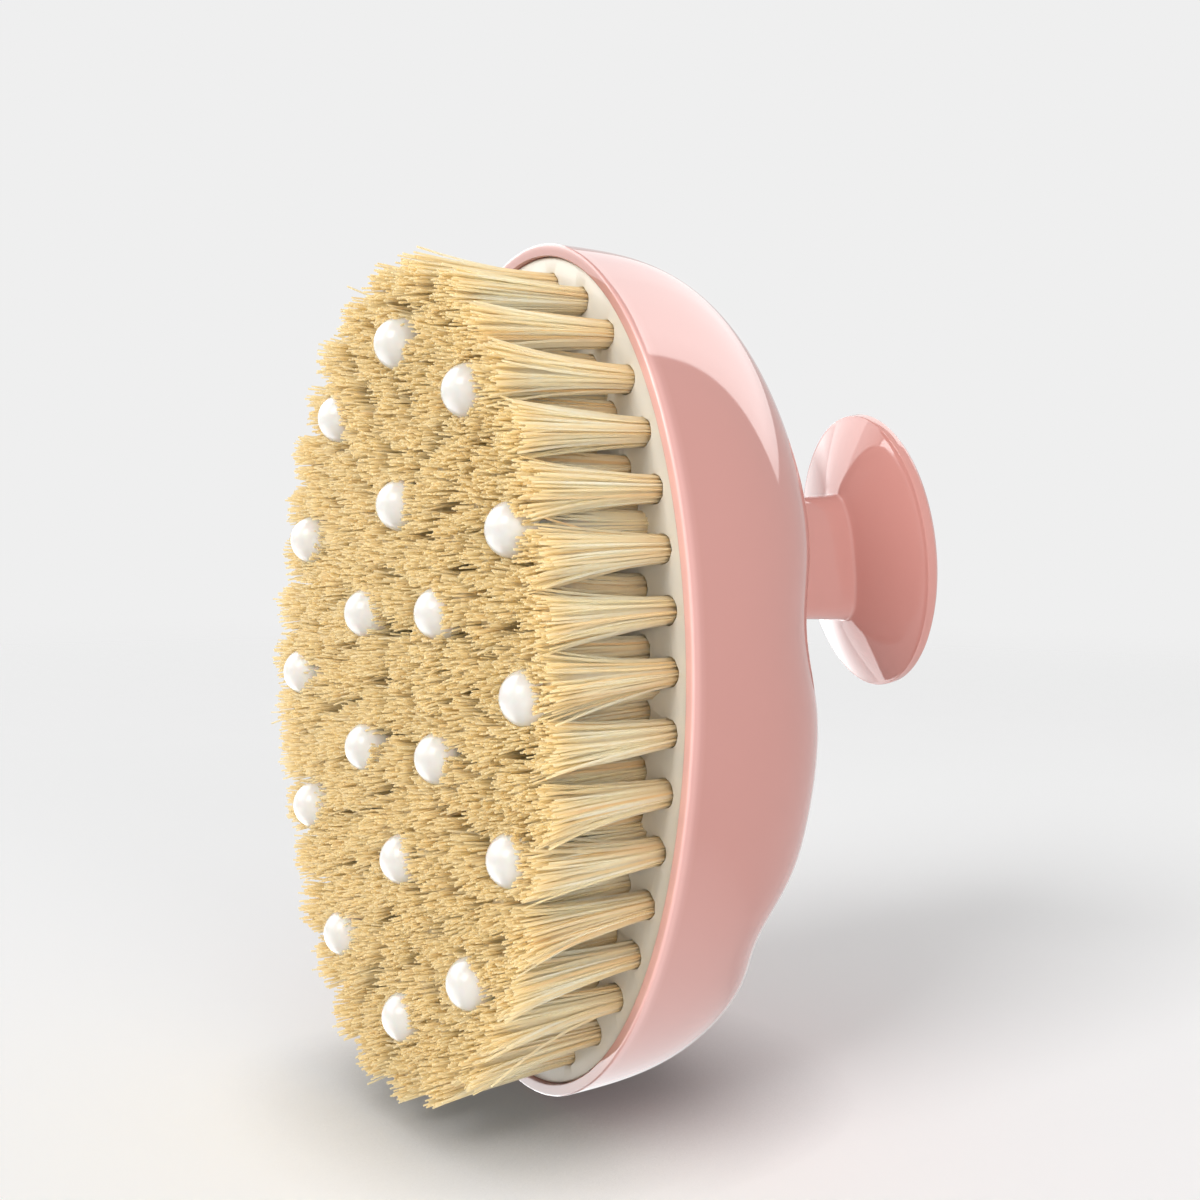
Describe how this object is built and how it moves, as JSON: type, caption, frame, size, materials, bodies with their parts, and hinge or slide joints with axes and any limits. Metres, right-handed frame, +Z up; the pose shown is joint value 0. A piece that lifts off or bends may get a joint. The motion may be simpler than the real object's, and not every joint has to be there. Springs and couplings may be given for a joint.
{
  "type": "body brush",
  "caption": "Oval body brush with splayed bristle tufts and round massage nodules in a cream pad, a glossy pink rounded back shell and an oval knob handle.",
  "frame": {"origin": "on the floor under the middle of the brush, which stands on the lower end of its oval head", "axes": "+Z up along the head's long axis, +X across the head, +Y from the bristle tips to the knob; the face of the pad lies square to Y"},
  "size_m": [0.0784, 0.1002, 0.125],
  "materials": {
    "pink_shell": "polished injection moulded pink plastic",
    "pink_handle": "polished injection moulded pink plastic",
    "cream_pad": "satin moulded cream plastic",
    "white_nodule": "smooth white plastic with a soft sheen",
    "bristles": "trimmed natural fibre bristles",
    "screw_steel": "plated steel"
  },
  "bodies": {
    "root": {"back_shell": "pink_shell", "bristle_pad": "cream_pad", "bristle_row_1": "bristles", "bristle_row_2": "bristles", "bristle_row_3": "bristles", "bristle_row_4": "bristles", "bristle_row_5": "bristles", "bristle_row_middle": "bristles", "nodule_01": "white_nodule", "nodule_02": "white_nodule", "nodule_03": "white_nodule", "nodule_04": "white_nodule", "nodule_05": "white_nodule", "nodule_06": "white_nodule", "nodule_07": "white_nodule", "nodule_08": "white_nodule", "nodule_09": "white_nodule", "nodule_10": "white_nodule", "nodule_11": "white_nodule", "nodule_12": "white_nodule", "nodule_13": "white_nodule", "nodule_14": "white_nodule", "nodule_15": "white_nodule", "nodule_16": "white_nodule", "nodule_17": "white_nodule", "nodule_18": "white_nodule", "handle": "pink_handle", "knob_cap": "pink_handle", "handle_screw_lower": "screw_steel", "handle_screw_upper": "screw_steel"}
  },
  "joints": []
}
